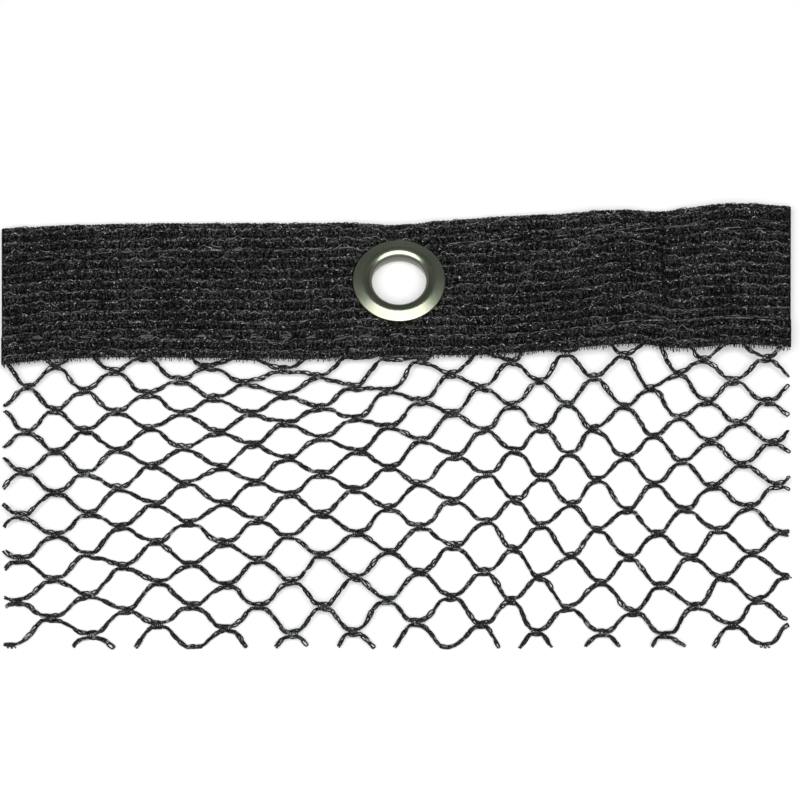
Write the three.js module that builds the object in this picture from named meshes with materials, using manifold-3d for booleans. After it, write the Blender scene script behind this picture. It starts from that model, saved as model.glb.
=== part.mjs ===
// A cut length of pond cover net, lying flat: knotless diamond netting whose upper edge is sewn into
// a folded, ribbed knit heading band, with one metal eyelet and its washer clinched through the band.
// Millimetres, +Z up. X runs along the band and Y from the netting's cut edge towards the band's fold.
// The origin is at floor level, under the middle of the piece.
import * as THREE from "three";
import { mergeVertices } from "three/addons/utils/BufferGeometryUtils.js";
import Module from "manifold-3d";

const wasm = await Module();
wasm.setup();

// The cut piece: its two sides draw in a little towards the netting's cut edge
const CUT_EDGE_Y = -54.6;
const FAR_EDGE_Y = 54.6;
const LEFT_SIDE = { cut: -84.7, far: -91.25 };
const RIGHT_SIDE = { cut: 84.3, far: 90.9 };
const CLEARANCE = 0.3;

// Netting: wavy chains of yarn, joined to the next chain wherever they touch
const STRAND_WIDTH = 1.35;
const STRAND_THICKNESS = 0.9;
const FUSED_SHARE = 0.15; // of the way between two columns, joined on each side of a junction
const JUNCTION_WANDER = 0.35;
const NET_WAVE = 1.6;
const COLUMNS = { first: -2, last: 26 };
const ROWS = { first: -5, last: 16 };

// Where the netting lies: every second column, with its places at mesh rows 2, 6 and 12
const NET_ROWS = [2, 6, 12];
const NET_COLUMNS = [
  { column: 0, x2: -82.5, x6: -82.4, x12: -82.7, y2: 2.5, y6: -18.6, y12: -49.0 },
  { column: 2, x2: -69.9, x6: -68.3, x12: -66.5, y2: 2.1, y6: -17.7, y12: -46.7 },
  { column: 4, x2: -55.5, x6: -53.9, x12: -51.8, y2: 2.3, y6: -15.6, y12: -44.3 },
  { column: 6, x2: -40.6, x6: -38.7, x12: -36.9, y2: 1.2, y6: -16.0, y12: -44.9 },
  { column: 8, x2: -25.2, x6: -24.5, x12: -22.8, y2: 2.7, y6: -13.6, y12: -45.4 },
  { column: 10, x2: -9.6, x6: -9.1, x12: -9.3, y2: 4.5, y6: -12.6, y12: -44.6 },
  { column: 12, x2: 5.0, x6: 5.0, x12: 4.3, y2: 9.2, y6: -10.3, y12: -42.8 },
  { column: 14, x2: 19.0, x6: 19.4, x12: 18.5, y2: 12.3, y6: -7.9, y12: -42.7 },
  { column: 16, x2: 31.4, x6: 31.8, x12: 30.3, y2: 14.8, y6: -8.1, y12: -44.5 },
  { column: 18, x2: 44.1, x6: 43.8, x12: 43.9, y2: 16.0, y6: -8.7, y12: -45.2 },
  { column: 20, x2: 56.9, x6: 56.5, x12: 57.3, y2: 13.8, y6: -9.9, y12: -45.9 },
  { column: 22, x2: 68.6, x6: 69.1, x12: 71.2, y2: 9.3, y6: -11.1, y12: -43.4 },
  { column: 24, x2: 82.3, x6: 83.1, x12: 84.9, y2: 9.4, y6: -11.4, y12: -43.3 },
];

// Heading band: one strip folded over the netting's edge, its two leaves sewn together above it
const LEAF = 0.7;
const BACK_SHORT = 1.3; // the back leaf ends this far above the front one
const RIB_COUNT = 13;
const RIB_DEPTH = 0.22;
const NET_POCKET = 6.2; // how far up from the band's foot the netting reaches
const POCKET_TAPER = 2;
const NARROW_GAP = CLEARANCE;
const WIDE_GAP = STRAND_THICKNESS + 2 * CLEARANCE;
const FOLD_RADIUS = LEAF + NARROW_GAP / 2;
const BAND_STRIPS = 28;

// How the band lies: its fold and its foot wander, and it lifts off the floor in low waves
const BAND_COURSE = [
  { x: -91.1, fold: 48.5, foot: 12.3, lift: 0.6 },
  { x: -78, fold: 49.5, foot: 14.2, lift: 0.3 },
  { x: -57, fold: 50.2, foot: 14.9, lift: 0.0 },
  { x: -22, fold: 50.1, foot: 14.3, lift: 0.3 },
  { x: -12, fold: 50.0, foot: 14.6, lift: 0.15 },
  { x: 0, fold: 49.2, foot: 14.9, lift: 0.0 },
  { x: 9, fold: 50.4, foot: 15.1, lift: 0.05 },
  { x: 23, fold: 51.8, foot: 15.6, lift: 0.3 },
  { x: 38, fold: 52.2, foot: 16.5, lift: 1.0 },
  { x: 47, fold: 52.9, foot: 17.2, lift: 1.4 },
  { x: 54, fold: 53.3, foot: 17.9, lift: 0.8 },
  { x: 60, fold: 53.2, foot: 17.3, lift: 0.3 },
  { x: 65, fold: 53.7, foot: 16.8, lift: 0.8 },
  { x: 76, fold: 54.65, foot: 17.3, lift: 1.6 },
  { x: 91.1, fold: 54.2, foot: 16.7, lift: 1.0 },
];

// A crease pinched across the band's front: the ribs climb towards it and drop back just past it
const CREASE = { x: 59.8, halfWidth: 1.1, depth: 0.25, climb: 1.3, reach: 24 };

// Eyelet and washer
const EYELET_X = 0.25;
const EYELET_Y = 33.75;
const THROAT_RADIUS = 6.15;
const BARREL_WALL = 0.45;
const FLANGE_RADIUS = 10.5;
const FLANGE_RIM = 0.15;
const CROWN_INNER = 7.3;
const CROWN_OUTER = 7.7;
const CROWN_RISE = 1.3;
const THROAT_DROP = 0.8; // from the flange's underside to the narrowest part of the barrel
const FOOT_RADIUS = 8.2;
const FOOT_THICKNESS = 0.35;
const FLARE_RADIUS = 7.4;
const FLARE_HEIGHT = 1.2;
const WASHER_OUTER = 10.1;
const WASHER_INNER = 7.15;
const WASHER_THICKNESS = 1.0;
const WASHER_RECESS_RADIUS = 8.7;
const WASHER_BEVEL = 0.2;
const LATHE_STEPS = 40;
const CLOTH_RISE = WASHER_THICKNESS + CLEARANCE; // the band's underside at the eyelet
const FLANGE_Z = CLOTH_RISE + 2 * LEAF + NARROW_GAP + CLEARANCE;
const RISE_PLATEAU = 11.5; // the cloth is level this far round the eyelet, and is down at RISE_REACH
const RISE_REACH = 28;

const COLOURS = { netting: 0x141614, band: 0x121313, metal: 0xb9bdb0 };

// Helpers
const clamp01 = (t) => Math.min(1, Math.max(0, t));
const ease = (t) => clamp01(t) ** 2 * (3 - 2 * clamp01(t));
const mix = (a, b, t) => a + (b - a) * t;

// A repeatable value from -1 to 1 for each pair of whole numbers.
function wander(i, j) {
  const folded = Math.sin(i * 12.9898 + j * 78.233) * 43758.5453;
  return 2 * (folded - Math.floor(folded)) - 1;
}

// A smooth curve through one column of a table, read at a value of its key column. It runs on
// straight past both ends.
function along(table, key, at, column) {
  const last = table.length - 1;
  let i = 0;
  while (i < last - 1 && at > table[i + 1][key]) i += 1;
  const value = (n) => {
    if (n < 0) return 2 * table[0][column] - table[1][column];
    if (n > last) return 2 * table[last][column] - table[last - 1][column];
    return table[n][column];
  };
  const t = (at - table[i][key]) / (table[i + 1][key] - table[i][key]);
  const [a, b, c, d] = [value(i - 1), value(i), value(i + 1), value(i + 2)];
  if (t < 0) return b + ((c - a) / 2) * t;
  if (t > 1) return c + ((d - b) / 2) * (t - 1);
  return b + (t / 2) * (c - a + t * (2 * a - 5 * b + 4 * c - d + t * (3 * (b - c) + d - a)));
}

const foldY = (x) => along(BAND_COURSE, "x", x, "fold");
const footY = (x) => along(BAND_COURSE, "x", x, "foot");

// How far the cloth's underside is off the floor: level over the eyelet's washer, in low waves
// elsewhere, and down again in the netting below the band.
function clothRise(x, y) {
  const fromEyelet = Math.hypot(x - EYELET_X, y - EYELET_Y);
  const overWasher = 1 - ease((fromEyelet - RISE_PLATEAU) / (RISE_REACH - RISE_PLATEAU));
  const fade = 1 - ease((footY(x) - y) / 26);
  const wave = Math.max(0, along(BAND_COURSE, "x", x, "lift")) * fade;
  return mix(wave, CLOTH_RISE, overWasher);
}

// The netting comes down off the band's lower leaf and then lies in a few low swells.
function netRise(x, y) {
  const belowFoot = footY(x) - y;
  const stepDown = (LEAF + CLEARANCE) * (1 - ease((belowFoot - 0.8) / 9));
  const swell = Math.sin(x / 19 + y / 31 + 0.6) * Math.sin(y / 14 - x / 47 + 1.1);
  return clothRise(x, y) + stepDown + NET_WAVE * Math.max(0, swell) ** 2 * ease(belowFoot / 16);
}

// Solids and geometries
function solidOf(geometry) {
  const loose = geometry.index ? geometry.toNonIndexed() : geometry;
  const bare = new THREE.BufferGeometry();
  bare.setAttribute("position", loose.getAttribute("position"));
  const merged = mergeVertices(bare, 1e-4);
  return new wasm.Manifold(
    new wasm.Mesh({
      numProp: 3,
      vertProperties: merged.getAttribute("position").array,
      triVerts: new Uint32Array(merged.index.array),
    }),
  );
}

function geometryOf(solid) {
  const { vertProperties, triVerts, numProp } = solid.getMesh();
  const geometry = new THREE.BufferGeometry();
  const points = [];
  for (let i = 0; i < vertProperties.length; i += numProp) {
    points.push(vertProperties[i], vertProperties[i + 1], vertProperties[i + 2]);
  }
  geometry.setAttribute("position", new THREE.Float32BufferAttribute(points, 3));
  geometry.setIndex([...triVerts]);
  return geometry;
}

// Scissor cuts
const sideX = (side, y) =>
  mix(side.cut, side.far, (y - CUT_EDGE_Y) / (FAR_EDGE_Y - CUT_EDGE_Y));

const cutOutline = (margin, top) => [
  new THREE.Vector2(LEFT_SIDE.cut - margin, CUT_EDGE_Y - margin),
  new THREE.Vector2(RIGHT_SIDE.cut + margin, CUT_EDGE_Y - margin),
  new THREE.Vector2(sideX(RIGHT_SIDE, top) + margin, top),
  new THREE.Vector2(sideX(LEFT_SIDE, top) - margin, top),
];

const cutter = (outline) =>
  solidOf(
    new THREE.ExtrudeGeometry(new THREE.Shape(outline), {
      depth: 8 * CLOTH_RISE,
      bevelEnabled: false,
    }).translate(0, 0, -2 * CLOTH_RISE),
  );

const largestOf = (solid) => solid.decompose().sort((a, b) => b.volume() - a.volume())[0];

// Netting. Chain k runs along X between rows k and k + 1. At each column it touches the chain
// above it on row k, or the chain below it on row k + 1, by turns.
function netPlace(axis, column, row) {
  const [r0, r1, r2] = NET_ROWS;
  const [p0, p1, p2] = NET_ROWS.map((r) => along(NET_COLUMNS, "column", column, axis + r));
  return (
    (p0 * (row - r1) * (row - r2)) / ((r0 - r1) * (r0 - r2)) +
    (p1 * (row - r0) * (row - r2)) / ((r1 - r0) * (r1 - r2)) +
    (p2 * (row - r0) * (row - r1)) / ((r2 - r0) * (r2 - r1))
  );
}

function junction(column, row) {
  return new THREE.Vector2(
    netPlace("x", column, row) + JUNCTION_WANDER * wander(column, row),
    netPlace("y", column, row) + JUNCTION_WANDER * wander(column + 50, row + 50),
  );
}

function chainAtColumn(chain, column) {
  const touchesBelow = (column + chain) % 2 === 0;
  const point = junction(column, touchesBelow ? chain + 1 : chain);
  point.y += (touchesBelow ? 0.5 : -0.5) * STRAND_WIDTH;
  return point;
}

// The middle of a chain between a column and the next one, t going from 0 to 1.
function chainPoint(chain, column, t) {
  const start = chainAtColumn(chain, column);
  const end = chainAtColumn(chain, column + 1);
  const share = ease((t - FUSED_SHARE) / (1 - 2 * FUSED_SHARE));
  return new THREE.Vector2(mix(start.x, end.x, t), mix(start.y, end.y, share));
}

// The edge of a chain, on its upper side (+1) or its lower side (-1).
function chainEdge(chain, column, t, side) {
  const step = 0.02;
  const back = chainPoint(chain, column, t - step);
  const ahead = chainPoint(chain, column, t + step);
  const across = ahead.sub(back).normalize().multiplyScalar((side * STRAND_WIDTH) / 2);
  const middle = chainPoint(chain, column, t);
  return new THREE.Vector2(middle.x - across.y, middle.y + across.x);
}

// The outline of one mesh: pointed where its two chains join, round at the top and the bottom.
function meshOutline(column, row) {
  const left = chainPoint(row, column - 1, FUSED_SHARE);
  const right = chainPoint(row, column, 1 - FUSED_SHARE);
  left.y = (left.y + chainPoint(row - 1, column - 1, FUSED_SHARE).y) / 2;
  right.y = (right.y + chainPoint(row - 1, column, 1 - FUSED_SHARE).y) / 2;
  const side = (chain, edge) => [
    chainEdge(chain, column - 1, 0.45, edge),
    chainEdge(chain, column - 1, 0.82, edge),
    chainEdge(chain, column, 0.18, edge),
    chainEdge(chain, column, 0.55, edge),
  ];
  return [left, ...side(row, 1), right, ...side(row - 1, -1).reverse()];
}

function nettingGeometry() {
  const margin = 30;
  const sheet = new THREE.Shape(cutOutline(margin, FAR_EDGE_Y + margin));
  for (let column = COLUMNS.first; column <= COLUMNS.last; column += 1) {
    for (let row = ROWS.first; row <= ROWS.last; row += 1) {
      if ((column + row) % 2 === 0) sheet.holes.push(new THREE.Path(meshOutline(column, row)));
    }
  }
  const whole = solidOf(
    new THREE.ExtrudeGeometry(sheet, { depth: STRAND_THICKNESS, bevelEnabled: false }),
  );

  // Inside the band it ends just short of the sewing.
  const outline = cutOutline(0, FAR_EDGE_Y).slice(0, 2);
  for (let i = BAND_STRIPS; i >= 0; i -= 1) {
    const share = i / BAND_STRIPS;
    const y = footY(mix(LEFT_SIDE.far, RIGHT_SIDE.far, share)) + NET_POCKET - CLEARANCE;
    outline.push(new THREE.Vector2(mix(sideX(LEFT_SIDE, y), sideX(RIGHT_SIDE, y), share), y));
  }
  const geometry = geometryOf(largestOf(whole.intersect(cutter(outline))));
  const position = geometry.getAttribute("position");
  for (let i = 0; i < position.count; i += 1) {
    position.setZ(i, position.getZ(i) + netRise(position.getX(i), position.getY(i)));
  }
  return geometry;
}

// Heading band. The space between its leaves is wide where the netting lies in it.
const leafGap = (fromFoot) =>
  mix(WIDE_GAP, NARROW_GAP, ease((fromFoot - NET_POCKET) / POCKET_TAPER));

// How far the ribs have climbed at x, and how deep the crease is there.
function ribClimb(x) {
  const before = ease((x - CREASE.x + CREASE.reach) / CREASE.reach);
  return CREASE.climb * before * (1 - ease((x - CREASE.x) / (2 * CREASE.halfWidth)));
}

const creaseDepth = (x) =>
  CREASE.depth * ease(1 - Math.abs(x - CREASE.x) / (2 * CREASE.halfWidth));

// One section across the band, as a closed loop: up the ribbed front, round the fold, down the
// back, and up and down again inside.
function bandSection(x) {
  const foot = footY(x);
  const span = foldY(x) - FOLD_RADIUS - foot;
  const loop = [];
  const add = (fromFoot, z) => loop.push([foot + fromFoot, z + clothRise(x, foot + fromFoot)]);
  for (let i = 0; i <= 2 * RIB_COUNT; i += 1) {
    const share = i / (2 * RIB_COUNT);
    const middle = Math.sin(Math.PI * share);
    const d = span * share + ribClimb(x) * middle;
    const valley = i % 2 === 0 ? RIB_DEPTH : 0;
    add(d, 2 * LEAF + leafGap(d) - valley - creaseDepth(x) * middle);
  }
  for (const degrees of [55, 20, -20, -55]) {
    const angle = THREE.MathUtils.degToRad(degrees);
    add(span + FOLD_RADIUS * Math.cos(angle), FOLD_RADIUS * (1 + Math.sin(angle)));
  }
  const backShares = [1, 0.86, 0.72, 0.58, 0.44, 0.3, 0.15, 0];
  for (const share of backShares) add(mix(BACK_SHORT, span, share), 0);
  for (const share of backShares.toReversed()) add(mix(BACK_SHORT, span, share), LEAF);
  for (const share of [1, 0.8, 0.6, 0.42]) add(span * share, LEAF + NARROW_GAP);
  for (const share of [1, 0.6, 0.3, 0]) {
    const d = NET_POCKET + POCKET_TAPER * share;
    add(d, LEAF + leafGap(d));
  }
  add(0, LEAF + WIDE_GAP);
  return loop;
}

// Joins a row of closed loops of the same length into one closed body.
function skinLoops(loops, xs) {
  const points = loops.flatMap((loop, i) => loop.flatMap(([y, z]) => [xs[i], y, z]));
  const count = loops[0].length;
  const faces = [];
  for (let i = 0; i + 1 < loops.length; i += 1) {
    for (let j = 0; j < count; j += 1) {
      const k = (j + 1) % count;
      const [a, b, c, d] = [i * count + j, i * count + k, (i + 1) * count + k, (i + 1) * count + j];
      faces.push(a, c, b, a, d, c);
    }
  }
  const capped = (loop, start, turned) => {
    const flat = loop.map(([y, z]) => new THREE.Vector2(y, z));
    for (const [a, b, c] of THREE.ShapeUtils.triangulateShape(flat, [])) {
      faces.push(start + a, start + (turned ? c : b), start + (turned ? b : c));
    }
  };
  capped(loops[0], 0, true);
  capped(loops.at(-1), (loops.length - 1) * count, false);
  const geometry = new THREE.BufferGeometry();
  geometry.setAttribute("position", new THREE.Float32BufferAttribute(points, 3));
  geometry.setIndex(faces);
  return geometry;
}

function bandGeometry() {
  const even = Array.from({ length: BAND_STRIPS + 1 }, (_, i) =>
    mix(LEFT_SIDE.far - 2, RIGHT_SIDE.far + 2, i / BAND_STRIPS),
  );
  const atCrease = [-2, -1, 0, 1, 2].map((step) => CREASE.x + step * CREASE.halfWidth);
  const clearOfCrease = (x) => Math.abs(x - CREASE.x) > 3 * CREASE.halfWidth;
  const xs = [...even.filter(clearOfCrease), ...atCrease].sort((a, b) => a - b);
  const radius = THROAT_RADIUS + BARREL_WALL + CLEARANCE;
  const punch = new THREE.CylinderGeometry(radius, radius, 8 * CLOTH_RISE, LATHE_STEPS)
    .rotateX(Math.PI / 2)
    .translate(EYELET_X, EYELET_Y, CLOTH_RISE);
  const strip = solidOf(skinLoops(xs.map(bandSection), xs)).subtract(solidOf(punch));
  return geometryOf(strip.intersect(cutter(cutOutline(0, FAR_EDGE_Y + 5))));
}

// Metal. A profile is drawn in radius and height and turned about the eyelet's axis.
function arc(centre, radii, fromDegrees, toDegrees, steps) {
  return Array.from({ length: steps + 1 }, (_, i) => {
    const angle = THREE.MathUtils.degToRad(mix(fromDegrees, toDegrees, i / steps));
    return [centre[0] + radii[0] * Math.cos(angle), centre[1] + radii[1] * Math.sin(angle)];
  });
}

function turned(profile) {
  const closed = [...profile, profile[0]].map(([r, z]) => new THREE.Vector2(r, z));
  return new THREE.LatheGeometry(closed, LATHE_STEPS).rotateX(Math.PI / 2);
}

// A domed flange on the front, a barrel with its throat just under the cloth's face, and a foot
// rolled outward under the washer.
function eyeletGeometry() {
  const barrel = THROAT_RADIUS + BARREL_WALL;
  const throatZ = FLANGE_Z - THROAT_DROP;
  const crownZ = FLANGE_Z + CROWN_RISE;
  const domeZ = FLANGE_Z + FLANGE_RIM;
  const flareWidth = FLARE_RADIUS - THROAT_RADIUS;
  const outerFlare = [FLARE_RADIUS - barrel, FLARE_HEIGHT - FOOT_THICKNESS];
  const dome = [FLANGE_RADIUS - CROWN_OUTER, crownZ - domeZ];
  return turned([
    ...arc([FLARE_RADIUS, FLARE_HEIGHT], [flareWidth, FLARE_HEIGHT], 180, 270, 3),
    [FOOT_RADIUS, 0],
    [FOOT_RADIUS + FOOT_THICKNESS / 2, FOOT_THICKNESS / 2],
    [FOOT_RADIUS, FOOT_THICKNESS],
    ...arc([FLARE_RADIUS, FLARE_HEIGHT], outerFlare, 270, 180, 2),
    [barrel, FLANGE_Z],
    [FLANGE_RADIUS, FLANGE_Z],
    ...arc([CROWN_OUTER, domeZ], dome, 0, 90, 5),
    ...arc([CROWN_INNER, throatZ], [CROWN_INNER - THROAT_RADIUS, crownZ - throatZ], 90, 180, 4),
  ]);
}

// A flat ring, recessed round its bore to take the eyelet's rolled foot.
function washerGeometry() {
  const recessZ = FOOT_THICKNESS + CLEARANCE;
  return turned([
    [WASHER_INNER, recessZ],
    [WASHER_RECESS_RADIUS, recessZ],
    [WASHER_RECESS_RADIUS, 0],
    [WASHER_OUTER - WASHER_BEVEL, 0],
    [WASHER_OUTER, WASHER_BEVEL],
    [WASHER_OUTER, WASHER_THICKNESS - WASHER_BEVEL],
    [WASHER_OUTER - WASHER_BEVEL, WASHER_THICKNESS],
    [WASHER_INNER, WASHER_THICKNESS],
  ]);
}

const cloth = (color) => new THREE.MeshStandardMaterial({ color, roughness: 0.6, metalness: 0 });
const metal = new THREE.MeshStandardMaterial({ color: COLOURS.metal, roughness: 0.25, metalness: 1 });

function piece(name, geometry, material) {
  const mesh = new THREE.Mesh(geometry, material);
  mesh.name = name;
  return mesh;
}

const hardware = new THREE.Group();
hardware.position.set(EYELET_X, EYELET_Y, 0);
hardware.add(piece("eyelet", eyeletGeometry(), metal), piece("washer", washerGeometry(), metal));

const pondCoverNet = new THREE.Group();
pondCoverNet.add(
  piece("netting", nettingGeometry(), cloth(COLOURS.netting)),
  piece("heading_band", bandGeometry(), cloth(COLOURS.band)),
  hardware,
);

export default pondCoverNet;
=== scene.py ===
import math

import bpy
import numpy as np
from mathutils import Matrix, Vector


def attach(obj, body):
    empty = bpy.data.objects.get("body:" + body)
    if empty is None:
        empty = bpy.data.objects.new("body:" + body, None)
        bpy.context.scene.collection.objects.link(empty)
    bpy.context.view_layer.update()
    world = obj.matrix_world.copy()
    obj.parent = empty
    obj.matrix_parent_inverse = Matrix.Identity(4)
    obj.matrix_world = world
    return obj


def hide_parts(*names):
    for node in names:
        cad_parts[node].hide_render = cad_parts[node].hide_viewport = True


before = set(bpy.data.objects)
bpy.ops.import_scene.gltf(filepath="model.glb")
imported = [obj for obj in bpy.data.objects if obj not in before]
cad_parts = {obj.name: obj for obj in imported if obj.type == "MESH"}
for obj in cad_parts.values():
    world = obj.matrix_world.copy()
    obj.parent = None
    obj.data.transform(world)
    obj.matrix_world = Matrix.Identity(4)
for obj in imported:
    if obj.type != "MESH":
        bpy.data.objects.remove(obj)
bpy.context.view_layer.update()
metres = 0.001  # sizes below are in millimetres until a mesh is made
rng = np.random.default_rng(11)
print("frame loaded")


# One column of numbers for each name.
def table(names, rows):
    return dict(zip(names.split(), np.array(rows, float).T))


def mix(a, b, t):
    return a + (b - a) * t


def ease(t):
    t = np.clip(t, 0, 1)
    return t * t * (3 - 2 * t)


# A repeatable value from -1 to 1 for each pair of whole numbers.
def wander(i, j):
    folded = np.sin(i * 12.9898 + j * 78.233) * 43758.5453
    return 2 * (folded - np.floor(folded)) - 1


# A smooth curve through one column of a table, which runs on straight past both ends.
def along(course, key, at, column):
    keys, values = course[key], course[column]
    last = len(keys) - 1
    at = np.asarray(at, float)
    i = np.searchsorted(keys[1:last], at)
    padded = np.concatenate([[2 * values[0] - values[1]], values, [2 * values[-1] - values[-2]]])
    a, b, c, d = (padded[i + n] for n in range(4))
    t = (at - keys[i]) / (keys[i + 1] - keys[i])
    curve = b + t / 2 * (c - a + t * (2 * a - 5 * b + 4 * c - d + t * (3 * (b - c) + d - a)))
    return np.where(t < 0, b + (c - a) / 2 * t, np.where(t > 1, c + (d - b) / 2 * (t - 1), curve))


# The camera stands where the photographer's did, looking down at the cloth.
shot = {"aim": (0.45, 5.3, 0), "distance": 670.4, "elevation": 63.5, "lens": 135, "sensor": 36}

tilt = math.radians(shot["elevation"])
lens = bpy.data.cameras.new("photoCamera")
lens.lens, lens.sensor_width = shot["lens"], shot["sensor"]
lens.clip_start, lens.clip_end = 0.01, 20
camera = bpy.data.objects.new("photoCamera", lens)
backwards = Vector((0, -math.cos(tilt), math.sin(tilt)))
camera.location = (Vector(shot["aim"]) + backwards * shot["distance"]) * metres
camera.rotation_euler = (math.pi / 2 - tilt, 0, 0)
bpy.context.scene.collection.objects.link(camera)
bpy.context.scene.camera = camera

# The piece is cut straight below and at both sides, which draw in towards the lower cut.
cut = {"nearY": -54.6, "farY": 54.6, "left": (-84.7, -91.25), "right": (83.8, 90.4)}


def sideX(side, y):
    near, far = cut[side]
    return mix(near, far, (y - cut["nearY"]) / (cut["farY"] - cut["nearY"]))


# The heading band: a ribbed strip folded over the netting's edge.
band = {
    "leaf": 0.7,
    "backShort": 1.3,
    "ribs": 13,
    "ribDepth": 0.22,
    "pocket": 6.2,
    "pocketTaper": 2,
    "narrowGap": 0.3,
    "wideGap": 1.5,
    "knitDepth": 0.24,  # the ground cloth lies this far below the yarns' tops
}
bandCourse = table(
    "x fold foot lift",
    [
        (-91.1, 48.5, 12.3, 0.6),
        (-78, 49.5, 14.2, 0.3),
        (-57, 50.2, 14.9, 0.0),
        (-22, 50.1, 14.3, 0.3),
        (-12, 50.0, 14.6, 0.15),
        (0, 49.2, 14.9, 0.0),
        (9, 50.4, 15.1, 0.05),
        (23, 51.8, 15.6, 0.3),
        (38, 52.2, 16.5, 1.0),
        (47, 52.9, 17.2, 1.4),
        (54, 53.3, 17.9, 0.8),
        (60, 53.2, 17.3, 0.3),
        (65, 53.7, 16.8, 0.8),
        (76, 54.65, 17.3, 1.6),
        (91.1, 54.2, 16.7, 1.0),
    ],
)
crease = {
    "x": 60.3,
    "halfWidth": 0.5,
    "depth": 0.25,
    "depthWidth": 2.2,
    "climb": 1.5,
    "reach": 24,
    "groove": 0.6,  # the sharp fold at the bottom of the crease, which the yarns run into
    "grooveWidth": 0.6,
}
eyelet = {
    "x": 0.25,
    "y": 33.7,
    "throat": 6.15,
    "wall": 0.45,
    "flange": 10.5,
    "rim": 0.15,
    "crown": 7.9,
    "crownRise": 1.3,
    "crownRadius": 1.5,
    "shoulder": 10.1,
    "shoulderRise": 0.55,
    "throatRise": 0.2,
    "foot": 8.2,
    "footThickness": 0.35,
    "flare": 7.4,
    "flareHeight": 3.2,
}
washer = {
    "outer": 10.1,
    "inner": 7.15,
    "thickness": 1.0,
    "recess": 8.7,
    "bevel": 0.2,
    "recessEdge": 0.05,
    "boreEdge": 0.08,
}
clearance = 0.3
washerRise = washer["thickness"] + clearance
foldRadius = band["leaf"] + band["narrowGap"] / 2
# The cloth is level round the eyelet, and its waves fade out below the band's foot.
lie = {"levelReach": 11.5, "easeDown": 16.5, "waveFade": 26}


def foldY(x):
    return along(bandCourse, "x", x, "fold")


def footY(x):
    return along(bandCourse, "x", x, "foot")


def fromEyelet(x, y):
    return np.hypot(x - eyelet["x"], y - eyelet["y"])


def clothRise(x, y):
    overWasher = 1 - ease((fromEyelet(x, y) - lie["levelReach"]) / lie["easeDown"])
    fade = 1 - ease((footY(x) - y) / lie["waveFade"])
    wave = np.maximum(0, along(bandCourse, "x", x, "lift")) * fade
    return mix(wave, washerRise, overWasher)


def leafGap(fromFoot):
    taper = ease((fromFoot - band["pocket"]) / band["pocketTaper"])
    return mix(band["wideGap"], band["narrowGap"], taper)


def ribClimb(x):
    before = ease((x - crease["x"] + crease["reach"]) / crease["reach"])
    return crease["climb"] * before * (1 - ease((x - crease["x"]) / (2 * crease["halfWidth"])))


def creaseDepth(x):
    fromCrease = np.abs(x - crease["x"])
    groove = crease["groove"] * ease(1 - fromCrease / crease["grooveWidth"])
    return crease["depth"] * ease(1 - fromCrease / crease["depthWidth"]) + groove


# Where a line that lies this share of the way up the band runs, and the share back again.
def bandY(x, share):
    span = foldY(x) - foldRadius - footY(x)
    return footY(x) + span * share + ribClimb(x) * np.sin(np.pi * share)


def bandShare(x, y):
    span = foldY(x) - foldRadius - footY(x)
    share = (y - footY(x)) / span
    return share - ribClimb(x) * np.sin(np.pi * np.clip(share, 0, 1)) / span


# The ground cloth of the front leaf and of the back leaf, under their knitted yarns.
def frontCloth(x, y):
    share = bandShare(x, y)
    valley = band["ribDepth"] * (0.5 + 0.5 * np.cos(2 * np.pi * band["ribs"] * share))
    pinch = creaseDepth(x) * np.sin(np.pi * np.clip(share, 0, 1))
    top = 2 * band["leaf"] + leafGap(y - footY(x)) + clothRise(x, y)
    return top - valley - pinch - band["knitDepth"]


def backCloth(x, y):
    return clothRise(x, y) + band["knitDepth"]


# Netting: wavy chains that touch the next chain above and the next below by turns.
net = {
    "strand": 1.1,
    "fused": 0.15,
    "wander": 0.35,
    "wave": 1.6,
    "rows": (2, 6, 12),
    "chains": (-5, 16),
    "columns": (-2, 27),
    "steps": 24,  # from one column to the next
    "dropStart": 0.8,
    "dropLength": 9,
    "swellFade": 16,
    "swells": ((19, 31, 0.6), (-47, 14, 1.1)),  # reach along x, along y, and phase
    "margin": 0.1,
    "bandMargin": 0.7,
}
netColumns = table(
    "column x2 x6 x12 y2 y6 y12",
    [
        (0, -82.5, -82.4, -82.7, 2.5, -18.6, -49.0),
        (2, -69.9, -68.3, -66.5, 2.1, -17.7, -46.7),
        (4, -55.5, -53.9, -51.8, 2.3, -15.6, -44.3),
        (6, -40.6, -38.7, -36.9, 1.2, -16.0, -44.9),
        (8, -25.2, -24.5, -22.8, 2.7, -13.6, -45.4),
        (10, -9.6, -9.1, -9.3, 4.5, -12.6, -44.6),
        (12, 5.0, 5.0, 4.3, 9.2, -10.3, -42.8),
        (14, 19.0, 19.4, 18.5, 12.3, -7.9, -42.7),
        (16, 31.4, 31.8, 30.3, 14.8, -8.1, -44.5),
        (18, 44.1, 43.8, 43.9, 16.0, -8.7, -45.2),
        (20, 56.9, 56.5, 57.3, 13.8, -9.9, -45.9),
        (22, 68.6, 69.1, 71.2, 9.3, -11.1, -43.4),
        (24, 82.3, 83.1, 84.9, 9.4, -11.4, -43.3),
    ],
)


def netRise(x, y):
    belowFoot = footY(x) - y
    dropped = ease((belowFoot - net["dropStart"]) / net["dropLength"])
    stepDown = (band["leaf"] + clearance) * (1 - dropped)
    first, second = (np.sin(x / reachX + y / reachY + phase) for reachX, reachY, phase in net["swells"])
    swell = net["wave"] * np.maximum(0, first * second) ** 2 * ease(belowFoot / net["swellFade"])
    return clothRise(x, y) + stepDown + swell


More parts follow.
